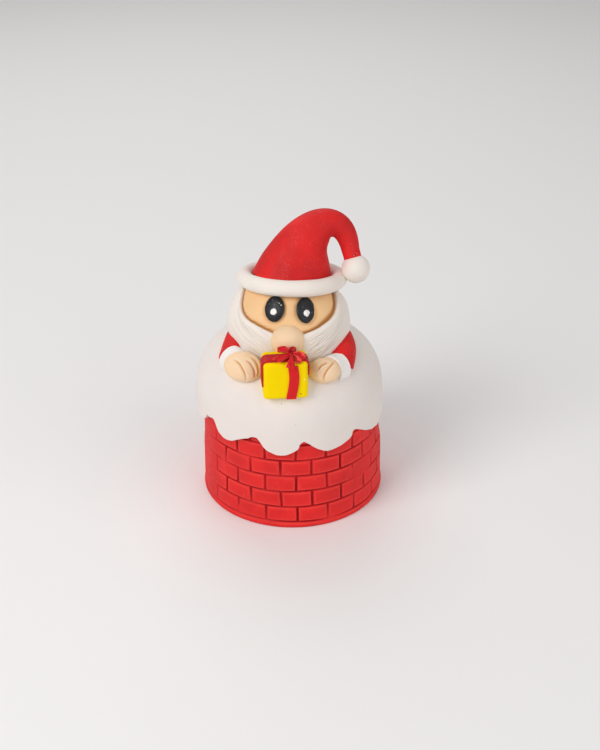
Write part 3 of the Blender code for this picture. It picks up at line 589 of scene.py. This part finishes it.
def make_brickwork():
    turn, level, bed_gap, head_gap = brick_grid()
    rings = []
    hollow = []
    lip = []
    for row in zip(turn, level, bed_gap, head_gap):
        ring = []
        for a, z, to_bed, to_head in zip(*row):
            flat = Vector((radians(a) * 56.0, z, 0.0)) * MM
            press = min(max(0.78 + 0.8 * ripple(flat, 17 * MM, 3.1), 0.12), 1.0)
            for at, up, wide, tall, left in FAINT_SPOTS:
                press *= 1 - (1 - left) * np.exp(-((a - at) / wide) ** 4 - ((z - up) / tall) ** 4)
            share = max(joint_profile(to_bed, BED_JOINT_HALF_WIDTH),
                        joint_profile(to_head, HEAD_JOINT_HALF_WIDTH)) * press
            # Painted shade in the joints, partly the icing's deeper red there
            hollow.append(min(share * 1.15, 1.0))
            groove = share * JOINT_DEPTH
            nearest = min(to_bed, to_head)
            # Painted highlight along the joints' edges
            lip.append(0.65 * press * np.exp(-((nearest - 1.3) / 0.6) ** 2))
            pillow = 0.20 * MM * np.exp(-nearest / 0.9) * press
            waver = 0.10 * MM * ripple(flat, 7 * MM, 8.0) + 0.30 * MM * ripple(flat, 26 * MM, 1.0)
            height = z * MM + 0.35 * MM * ripple(flat, 19 * MM, 5.0) * ease(z / 5.0)
            angle = radians(a + 0.45 * ripple(flat, 15 * MM, 6.0))
            rim = 0.9 * MM * (1 - sqrt(max(0.0, 1 - (1 - min(z / 0.9, 1.0)) ** 2)))
            rim -= 0.45 * MM * np.exp(-((z - 1.1) / 1.2) ** 2)
            swell = sum(rise * MM * np.exp(-((a - at) / wide) ** 2 - ((z - up) / tall) ** 2)
                        for at, up, wide, tall, rise in CHIMNEY_DENTS)
            radius = (chimney_radius(height) - groove - pillow + (waver + swell) * ease(z / 3.0)
                      - rim)
            ring.append((chimney_centre(height) + radius * sin(angle), -radius * cos(angle),
                         max(height, 0.0)))
        rings.append(ring)
    rings = [[(CHIMNEY_FOOT_X, 0.0, 0.0)], *rings, [(CHIMNEY_TOP_X, 0.0, CHIMNEY_CROWN)]]
    mesh = skin("iced_chimney", rings)
    shade_points(mesh, hollow=[0.0, *hollow, 0.0], lip=[0.0, *lip, 0.0])
    dressed("chimney", mesh, BRICK)


# Snow

def dome_height(distance):
    spread = 1 - (distance / SNOW_RADIUS) ** SNOW_SQUARENESS
    return SNOW_SHOULDER + (SNOW_TOP - SNOW_SHOULDER) * spread ** (1 / SNOW_SQUARENESS)


def dome_radius(height):
    if height <= SNOW_SHOULDER:
        return SNOW_RADIUS
    rise = (height - SNOW_SHOULDER) / (SNOW_TOP - SNOW_SHOULDER)
    return SNOW_RADIUS * max(1 - rise ** SNOW_SQUARENESS, 0.0) ** (1 / SNOW_SQUARENESS)


def scallop_height(angle):
    """Height of the snow's lower edge at an angle in degrees, on a smooth closed curve."""
    knots = [(a, z * MM) for a, z in SCALLOPS]
    angle = (angle - knots[0][0]) % 360 + knots[0][0]
    knots = [(knots[-1][0] - 360, knots[-1][1]), *knots, (knots[0][0] + 360, knots[0][1]),
             (knots[1][0] + 360, knots[1][1])]
    for before, here, there, after in zip(knots, knots[1:], knots[2:], knots[3:]):
        if here[0] <= angle <= there[0]:
            break
    width = there[0] - here[0]
    t = (angle - here[0]) / width
    slope_here = (there[1] - before[1]) / (there[0] - before[0]) * width
    slope_there = (after[1] - here[1]) / (after[0] - here[0]) * width
    return (here[1] * (2 * t ** 3 - 3 * t * t + 1) + slope_here * (t ** 3 - 2 * t * t + t)
            + there[1] * (3 * t * t - 2 * t ** 3) + slope_there * (t ** 3 - t * t))


def make_snow():
    angles = [2 * pi * i / SNOW_SIDES for i in range(SNOW_SIDES)]
    edges = []
    for a in angles:
        around = Vector((sin(a), cos(a), 0.0)) * SNOW_RADIUS
        nicks = sum(rise * MM * np.exp(-(((degrees(a) - at + 180) % 360 - 180) / wide) ** 2)
                    for at, wide, rise in SCALLOP_NICKS)
        uneven = 0.25 * MM * ripple(around, 3 * MM, 4.0)
        uneven += 0.12 * MM * ripple(around, 1.3 * MM, 2.0)
        edges.append(scallop_height(degrees(a)) + nicks + uneven)
    level = sum(edges) / SNOW_SIDES
    rings = [[(SNOW_X, 0.0, SNOW_TOP)]]
    for span in np.linspace(0.0, 1.0, SNOW_RINGS):
        share = 1 - (1 - span) ** 2.2
        distance = SNOW_SEAT_RADIUS + (SNOW_RIM_RADIUS - SNOW_SEAT_RADIUS) * share
        height = dome_height(distance)
        sink = ease((SCALLOP_BLEND_TOP - height) / (SCALLOP_BLEND_TOP - SNOW_SHOULDER))
        ring = []
        for a, edge in zip(angles, edges):
            z = height + (edge - level) * sink
            r = min(dome_radius(z), distance if sink == 0 else SNOW_RADIUS)
            point = Vector((SNOW_X + r * sin(a), -r * cos(a), z))
            wave = 0.30 * MM * ripple(point, 24 * MM, 2.0) + 0.05 * MM * ripple(point, 6 * MM, 9.0)
            ring.append((point.x + wave * sin(a), point.y - wave * cos(a), point.z + wave * 0.5))
        rings.append(ring)
    for down in (3.0, 2.0, 1.2):
        rings.append(edge_ring(angles, edges, 0.0, down))
    for step in range(1, 9):
        turn = radians(90 * step / 8)
        rings.append(edge_ring(angles, edges, SNOW_EDGE_ROUNDING * (1 - cos(turn)),
                               SNOW_EDGE_ROUNDING * (1 - sin(turn))))
    rings.append(edge_ring(angles, edges, 1.8, 0.1))
    rings.append(edge_ring(angles, edges, 3.4, 0.5))
    rings.append([(CHIMNEY_TOP_X, 0.0, SNOW_UNDERSIDE)])
    dressed("snow_cap", skin("iced_snow_cap", rings), SNOW)


def edge_ring(angles, edges, inset, rise):
    """A ring near the snow's lower edge, inset and raised from it in mm."""
    radius = SNOW_RADIUS - inset * MM
    return [(SNOW_X + radius * sin(a), -radius * cos(a), edge + rise * MM)
            for a, edge in zip(angles, edges)]


# Head

def on_head(angle, elevation, radius):
    a, e = radians(angle), radians(elevation)
    return HEAD_CENTRE + radius * Vector((sin(a) * cos(e), -cos(a) * cos(e), sin(e)))


def hand_rolled(amount, size, seed):
    """Small unevenness for a shape that was rolled by hand."""
    return lambda point, unit: point + unit * amount * MM * ripple(point, size * MM, seed)


def face_rim(point):
    """How near a point of the head is to the beard's upper edge, from 0 to 1."""
    out = (point - HEAD_CENTRE).normalized()
    angle = degrees(np.arctan2(out.x, -out.y))
    elevation = degrees(np.arcsin(out.z))
    if abs(angle) > 100:
        return 0.0
    width = 2.4 + 2.6 * ease((angle - 20) / 30)
    nearest = min(np.hypot((angle - at) * cos(radians(elevation)), elevation - edge)
                  for at, edge in FACE_EDGE)
    return float(np.exp(-(nearest / width) ** 4))


def eye_rim(point):
    """How near a point of the head is to an eye's outline, from 0 to 1."""
    out = (point - HEAD_CENTRE).normalized()
    angle = degrees(np.arctan2(out.x, -out.y))
    elevation = degrees(np.arcsin(out.z))
    share = 0.0
    for at, up, roll in EYES.values():
        across = (angle - at) * cos(radians(up)) / degrees(EYE_SIZE.x / HEAD_RADIUS)
        high = (elevation - up) / degrees(EYE_SIZE.z / HEAD_RADIUS)
        share = max(share, np.exp(-((np.hypot(across, high) - 1.0) / 0.14) ** 2))
    return float(share)


def make_head():
    hollow = []

    def face(point, unit):
        share = face_rim(point)
        # Painted shade in the recess round the face and round the eyes
        hollow.append(max(share, 0.45 * eye_rim(point)))
        return point + unit * MM * (0.25 * ripple(point, 18 * MM, 1.0) - 1.6 * share)

    mesh = blob("iced_head", HEAD_CENTRE, [HEAD_RADIUS] * 3, 200, shape=face)
    shade_points(mesh, hollow=hollow)
    dressed("head", mesh, FACE)
    dressed("nose", blob("iced_nose", NOSE_CENTRE, [NOSE_RADIUS] * 3, 96,
                         shape=hand_rolled(0.18, 8, 2.0)), SKIN)
    for side, (angle, elevation, roll) in EYES.items():
        middle = on_head(angle, elevation, HEAD_RADIUS)
        turn = (-elevation, roll, angle)
        dressed("eye_" + side, blob("iced_eye_" + side, middle, EYE_SIZE, 96, turn,
                                    hand_rolled(0.20, 2.6, angle)), BLACK)
        out = (middle - HEAD_CENTRE).normalized()
        up = (Vector((0, 0, 1)) - out * out.z).normalized()
        spot = middle + out * EYE_SIZE.y * GLINT_LIFT
        spot -= up * GLINT_DROP + Vector((out.x, 0, 0)) * GLINT_SHIFT
        turn = (-elevation, roll + GLINT_ROLL[side], angle)
        dressed("glint_" + side, blob("iced_glint_" + side, spot, GLINT_SIZE, 48, turn,
                                      hand_rolled(0.35, 1.6, angle), 0.7), GLINT)


def beard_radius(elevation, edge):
    near = min(max((edge - elevation) / BEARD_ROUNDING, 0.0), 1.0)
    thickness = BEARD_RADIUS - HEAD_RADIUS
    return HEAD_RADIUS + thickness * (0.05 + 0.95 * sqrt(1 - (1 - near) ** 2))


def hair_strokes(turns, shares):
    """Depth of the strokes drawn in the icing, over rows of the beard's angle and share down."""
    random = Random(11)
    turn, share = np.meshgrid(turns, shares, indexing="ij")
    depth = np.zeros_like(turn)
    for side in (-1, 1):
        for k in range(HAIR_STROKES):
            start = side * random.uniform(4, 46)
            length = random.uniform(16, 46)
            place = random.uniform(0.16, 1.15)
            slope = random.uniform(-0.30, -0.12)
            width = random.uniform(0.007, 0.018)
            strength = random.uniform(0.12, 0.42) * MM
            along = (turn - start) * side / length
            inside = ease(along / 0.3) * ease((1 - along) / 0.45)
            line = place + slope * along + 0.02 * np.sin(3 * along + k)
            depth += strength * inside * np.exp(-((share - line) / width) ** 2)
    for start, place, length, slope, strength in DEEP_STROKES:
        along = (turn - start) / length
        inside = ease(along / 0.15) * ease((1 - along) / 0.4)
        depth += strength * MM * inside * np.exp(-((share - place - slope * along) / 0.012) ** 2)
    return np.minimum(depth, DEEPEST_STROKE)


def make_beard():
    stations = spline(BEARD_EDGE, 16)
    shares = np.linspace(0.0, 1.0, 120) ** 1.25
    strokes = hair_strokes(stations[:, 0], shares)
    rings = []
    for (angle, edge), row in zip(stations, strokes):
        span = max(edge - BEARD_FOOT, 0.0)
        ring = []
        for share, stroke in zip(shares, row):
            elevation = edge - span * share
            point = on_head(angle, elevation, beard_radius(elevation, edge))
            lift = 0.2 * MM * ripple(point, 14 * MM, 5.0) - stroke
            ring.append(point + (point - HEAD_CENTRE).normalized() * lift)
        ring += [on_head(angle, edge - span * t, HEAD_RADIUS - 2.0 * MM) for t in (1.0, 0.5, 0.0)]
        rings.append(ring)
    mesh = skin("iced_beard", rings)
    # Painted shade in the hair strokes, as deep as they are
    shade_points(mesh, hollow=[value for row in strokes for value in [*(row / MM), 0, 0, 0]])
    dressed("beard", mesh, WHITE)


# Hat

def make_hat():
    tilt = Euler((radians(-HAT_TILT), radians(HAT_ROLL), 0)).to_matrix()
    rings = []
    for i in range(180):
        a = 2 * pi * i / 180
        out = tilt @ Vector((sin(a), -cos(a), 0))
        up = tilt @ Vector((0, 0, 1))
        ring = []
        for k in range(48):
            b = 2 * pi * k / 48
            point = BAND_CENTRE + out * BAND_RADIUS
            spoke = out * cos(b) + up * sin(b)
            thickness = BAND_THICKNESS + 0.35 * MM * ripple(point + spoke * 4 * MM, 16 * MM, 3.0)
            ring.append(point + spoke * thickness)
        rings.append(ring)
    dressed("hat_band", skin_loop("iced_hat_band", rings), WHITE)

    def folds(place, out, t):
        soft = 0.30 * MM * ripple(place + out * 12 * MM, 15 * MM, 7.0)
        fine = 0.06 * MM * ripple(place + out * 12 * MM, 4 * MM, 2.0)
        crease = max(out.dot(CREASE_SIDE), 0.0) ** 2
        crease *= sum(np.exp(-((t - at) / CREASE_HALF_WIDTH) ** 2) for at in HAT_CREASES)
        return soft + fine - CREASE_DEPTH * crease

    dressed("hat", sweep("iced_hat", HAT_LINE, 120, 16, folds, HAT_SMOOTHING), RED)
    dressed("bobble", blob("iced_bobble", BOBBLE_CENTRE, [BOBBLE_RADIUS] * 3, 80,
                           shape=hand_rolled(0.22, 6, 4.0)), WHITE)


# Arms

def groove_shares(side, across, seen):
    """The share of a finger groove, and of its raised edge, at a place in mm from the middle."""
    depth = 0.0
    lip = 0.0
    for groove in FINGER_GROOVES[side]:
        line = spline(groove, 6)
        gap = np.hypot(line[:, 0] - across, line[:, 1] - seen)
        nearest = int(gap.argmin())
        fade = ease((nearest + 2) / 9) * (0.45 + 0.55 * ease((len(line) - nearest) / 8))
        beyond = across > line[nearest, 0]
        depth = max(depth, fade * np.exp(-(gap[nearest] / 0.52) ** 2))
        lip = max(lip, fade * beyond * np.exp(-((gap[nearest] - 1.15) / 0.42) ** 2))
    return depth, lip


def make_arms():
    up = Vector((0, sin(VIEW), cos(VIEW)))
    towards = Vector((0, -cos(VIEW), sin(VIEW)))
    for side in ("left", "right"):
        centre = HAND_CENTRE[side]

        hollow = []
        lips = []

        def fingers(point, unit):
            rest = (point - centre) / MM
            facing = rest.dot(towards) > 0.5
            depth, lip = groove_shares(side, rest.x, rest.dot(up)) if facing else (0.0, 0.0)
            # Painted shade in the finger grooves and painted highlight on their raised edges
            hollow.append(float(GROOVE_DEPTH * depth))
            lips.append(float(0.7 * lip))
            rise = 0.15 * ripple(point, 7 * MM, 6.0) - GROOVE_DEPTH * depth + GROOVE_LIP * lip
            return point + unit * MM * rise

        mesh = blob("iced_hand_" + side, centre, HAND_SIZE[side], 180, HAND_TURN[side], fingers)
        shade_points(mesh, hollow=hollow, lip=lips)
        dressed("hand_" + side, mesh, SKIN)

        def sleeve_folds(place, out, t):
            return 0.25 * MM * ripple(place + out * 8 * MM, 9 * MM, 3.0)

        dressed("sleeve_" + side, sweep("iced_sleeve_" + side, SLEEVE_LINES[side], 64, 12,
                                        sleeve_folds), RED)
        wrist = Vector(SLEEVE_LINES[side][-1][:3])
        aim = CUFF_AIM[side].normalized()
        band = [(*(wrist + aim * distance), radius) for distance, radius in CUFF_PROFILE]
        dressed("cuff_" + side, cuff("iced_cuff_" + side, band, aim), CUFF)


def cuff(name, band, aim):
    """A short band about a straight line; its ends close at the line."""
    side = aim.orthogonal().normalized()
    other = aim.cross(side)
    rings = [[Vector(band[0][:3]) * MM]]
    for *place, radius in band:
        middle = Vector(place) * MM
        ring = []
        for k in range(96):
            a = 2 * pi * k / 96
            out = side * cos(a) + other * sin(a)
            uneven = 0.2 * MM * ripple(middle + out * 9 * MM, 8 * MM, 2.0)
            ring.append(middle + out * (radius * MM + uneven))
        rings.append(ring)
    rings.append([Vector(band[-1][:3]) * MM])
    return skin(name, rings)


# Gift

GIFT_MATRIX = (Matrix.Translation(GIFT_CENTRE)
               @ Euler((radians(-GIFT_LEAN), 0, radians(GIFT_TURN))).to_matrix().to_4x4())


def make_gift_box():
    bm = bmesh.new()
    bmesh.ops.create_cube(bm, size=1.0)
    bm.transform(Matrix.Diagonal((*GIFT_SIZE, 1)))
    bmesh.ops.bevel(bm, geom=bm.edges[:], offset=GIFT_EDGE_RADIUS, segments=8, profile=0.5,
                    affect="EDGES")
    bmesh.ops.subdivide_edges(bm, edges=[e for e in bm.edges if e.calc_length() > 5 * MM], cuts=24,
                              use_grid_fill=True)
    for vert in bm.verts:
        vert.co += vert.normal * 0.18 * MM * ripple(vert.co, 9 * MM, 3.0)
    bm.transform(GIFT_MATRIX)
    mesh = bpy.data.meshes.new("iced_gift_box")
    bm.to_mesh(mesh)
    bm.free()
    dressed("gift_box", mesh, YELLOW)


def strip_ring(point, out, side, thickness):
    """The rounded section of a flat strip of icing."""
    ring = [point - side, point - side * 0.99 + out * thickness * 0.55,
            point - side * 0.93 + out * thickness * 0.9]
    ring += [point + side * share + out * thickness for share in np.linspace(-0.82, 0.82, 13)]
    ring += [point + side * 0.93 + out * thickness * 0.9,
             point + side * 0.99 + out * thickness * 0.55, point + side]
    return ring


def make_ribbons():
    half = GIFT_SIZE / 2
    rings = []
    for t in np.linspace(0.0, 1.0, 48):
        z = half.z - GIFT_EDGE_RADIUS * 0.8 - (GIFT_SIZE.z - GIFT_EDGE_RADIUS * 1.1) * t
        sway = RIBBON_SWAY * sin(2 * pi * (RIBBON_WAVES * t - RIBBON_START))
        x = RIBBON_SHIFT + sway - RIBBON_DRIFT * t
        point = Vector((x, -half.y - 0.05 * MM, z))
        point.y += 0.12 * MM * ripple(point, 6 * MM, 1.0)
        rings.append(strip_ring(point, Vector((0, -1, 0)), Vector((RIBBON_WIDTH / 2, 0, 0)),
                                RIBBON_THICKNESS + RIBBON_LIFT))
    mesh = skin("iced_ribbon_front", rings)
    mesh.transform(GIFT_MATRIX)
    dressed("ribbon_front", mesh, RIBBON, 60)

    wide = half.x + RIBBON_LIFT
    top = half.z + RIBBON_LIFT
    left, right = STRAP_ENDS
    path = [(-wide + 0.2 * MM, left), (-wide, left + 2 * MM)]
    path += [(-wide, z) for z in np.linspace(left + 4 * MM, top - STRAP_CORNER, 8)]
    for side in (-1, 1):
        for step in range(1, 9):
            turn = radians(90 * (step if side < 0 else 8 - step + 1) / 9)
            path.append((side * (wide - STRAP_CORNER + STRAP_CORNER * cos(turn)),
                         top - STRAP_CORNER + STRAP_CORNER * sin(turn)))
        if side < 0:
            flat = wide - STRAP_CORNER
            path += [(x, top) for x in np.linspace(-flat, flat, 24)]
    path += [(wide, z) for z in np.linspace(top - STRAP_CORNER, right + 3 * MM, 5)]
    path += [(wide - 0.2 * MM, right)]
    middle_y = -half.y + STRAP_FRONT + STRAP_WIDTH / 2
    rings = []
    for i, (x, z) in enumerate(path):
        before, after = path[max(i - 1, 0)], path[min(i + 1, len(path) - 1)]
        out = Vector((before[1] - after[1], 0, after[0] - before[0])).normalized()
        point = Vector((x, middle_y, z)) - out * 0.25 * MM
        rings.append(strip_ring(point, out, Vector((0, STRAP_WIDTH / 2, 0)),
                                RIBBON_THICKNESS + 0.25 * MM))
    mesh = skin("iced_ribbon_over", rings)
    mesh.transform(GIFT_MATRIX)
    # Painted shade over the whole strap
    shade_points(mesh, hollow=[STRAP_SHADE] * len(mesh.vertices))
    dressed("ribbon_over", mesh, RIBBON, 60)


def knot_centre():
    return Vector((0, -GIFT_SIZE.y / 2, GIFT_SIZE.z / 2)) + KNOT_PLACE


def bow_point(across, seen, lift):
    """The point that lies across and above the knot, and back far enough to show at `seen`."""
    back = (seen - lift * cos(VIEW)) / sin(VIEW)
    return knot_centre() + Vector((across, back, lift)) * MM


def make_bow():
    for name, strip in BOW_STRIPS.items():
        thickness = BOW_THICKNESS[name]
        shade = BOW_SHADE.get(name, 0.0)
        stations = spline(strip, 10)
        edges = [(bow_point(*row[:3]), bow_point(*row[3:])) for row in stations]
        middles = [(one + other) / 2 for one, other in edges]
        last = len(stations) - 1
        rings = []
        hollow = [0.5]
        lip = [0.0]
        for i, (one, other) in enumerate(edges):
            t = i / last
            along = (middles[min(i + 1, last)] - middles[max(i - 1, 0)]).normalized()
            side = (other - one) / 2
            out = side.cross(along).normalized() * thickness / 2
            ring = []
            for k in range(32):
                a = 2 * pi * k / 32
                place = cos(a)
                rise = sin(a)
                here = (middles[i] - side * place) / MM
                wave = np.cos(place * 5.2 + 0.8 + 1.6 * t + 1.8 * noise.noise(here * 0.45))
                fold = BOW_FOLD * wave * (1 - 0.3 * t)
                body = np.sign(rise) * abs(rise) ** 0.6
                edge = ease((abs(place) - 0.8) / 0.15)
                # Painted shade in the creases, by the knot and over the shaded loop; painted
                # highlight on the folds' ridges and the strips' upper edges
                hollow.append(float(min(shade + ease(-wave) * 0.45 + 0.6 * ease(1 - t / 0.22), 1)))
                lip.append(float(max(ease(wave) * 0.9, 0.8 * edge) * (rise > -0.2) * (1 - shade)))
                ring.append(middles[i] - side * place + out * (body * 0.85 + fold))
            rings.append(ring)
        mesh = skin("iced_" + name, [[middles[0]], *rings, [middles[-1]]])
        mesh.transform(GIFT_MATRIX)
        shade_points(mesh, hollow=[*hollow, 0.5], lip=[*lip, 0.0])
        dressed(name, mesh, RIBBON, 70)
    knot = GIFT_MATRIX @ knot_centre()
    dressed("bow_knot", blob("iced_bow_knot", knot, KNOT_SIZE, 40,
                             shape=hand_rolled(0.25, 1.6, 5.0)), RIBBON)


# Studio

def make_studio():
    mesh = bpy.data.meshes.new("floor")
    far = FLOOR_REACH
    mesh.from_pydata([(-far, -far, 0), (far, -far, 0), (far, far, 0), (-far, far, 0)], [],
                     [(0, 1, 2, 3)])
    floor = bpy.data.objects.new("floor", mesh)
    bpy.context.scene.collection.objects.link(floor)
    paint = bpy.data.materials.new("floor")
    paint.use_nodes = True
    shader = paint.node_tree.nodes["Principled BSDF"]
    shader.inputs["Base Color"].default_value = FLOOR_COLOUR
    shader.inputs["Roughness"].default_value = 0.7
    mesh.materials.append(paint)

    for name, place, size, power in LAMPS:
        data = bpy.data.lights.new(name, "AREA")
        data.size = size
        data.energy = power
        lamp = bpy.data.objects.new(name, data)
        lamp.location = place
        aim = LAMP_TARGET - lamp.location
        lamp.rotation_euler = aim.to_track_quat("-Z", "Y").to_euler()
        bpy.context.scene.collection.objects.link(lamp)
    world = bpy.data.worlds.new("studio")
    world.use_nodes = True
    sky = world.node_tree.nodes["Background"]
    sky.inputs[0].default_value = SKY_COLOUR
    sky.inputs[1].default_value = SKY_STRENGTH
    bpy.context.scene.world = world


def make_camera():
    data = bpy.data.cameras.new("camera")
    data.lens = CAMERA_LENS
    data.sensor_width = CAMERA_SENSOR
    camera = bpy.data.objects.new("camera", data)
    camera.location = CAMERA_PLACE
    aim = Euler((radians(CAMERA_PITCH), 0, 0)).to_matrix()
    aim = aim @ Matrix.Rotation(radians(CAMERA_ROLL), 3, "Z")
    camera.rotation_euler = aim.to_euler()
    bpy.context.scene.collection.objects.link(camera)
    bpy.context.scene.camera = camera


bpy.context.scene.view_settings.view_transform = "Standard"
make_camera()
make_studio()
make_brickwork()
make_snow()
make_head()
make_beard()
make_hat()
make_arms()
make_gift_box()
make_ribbons()
make_bow()
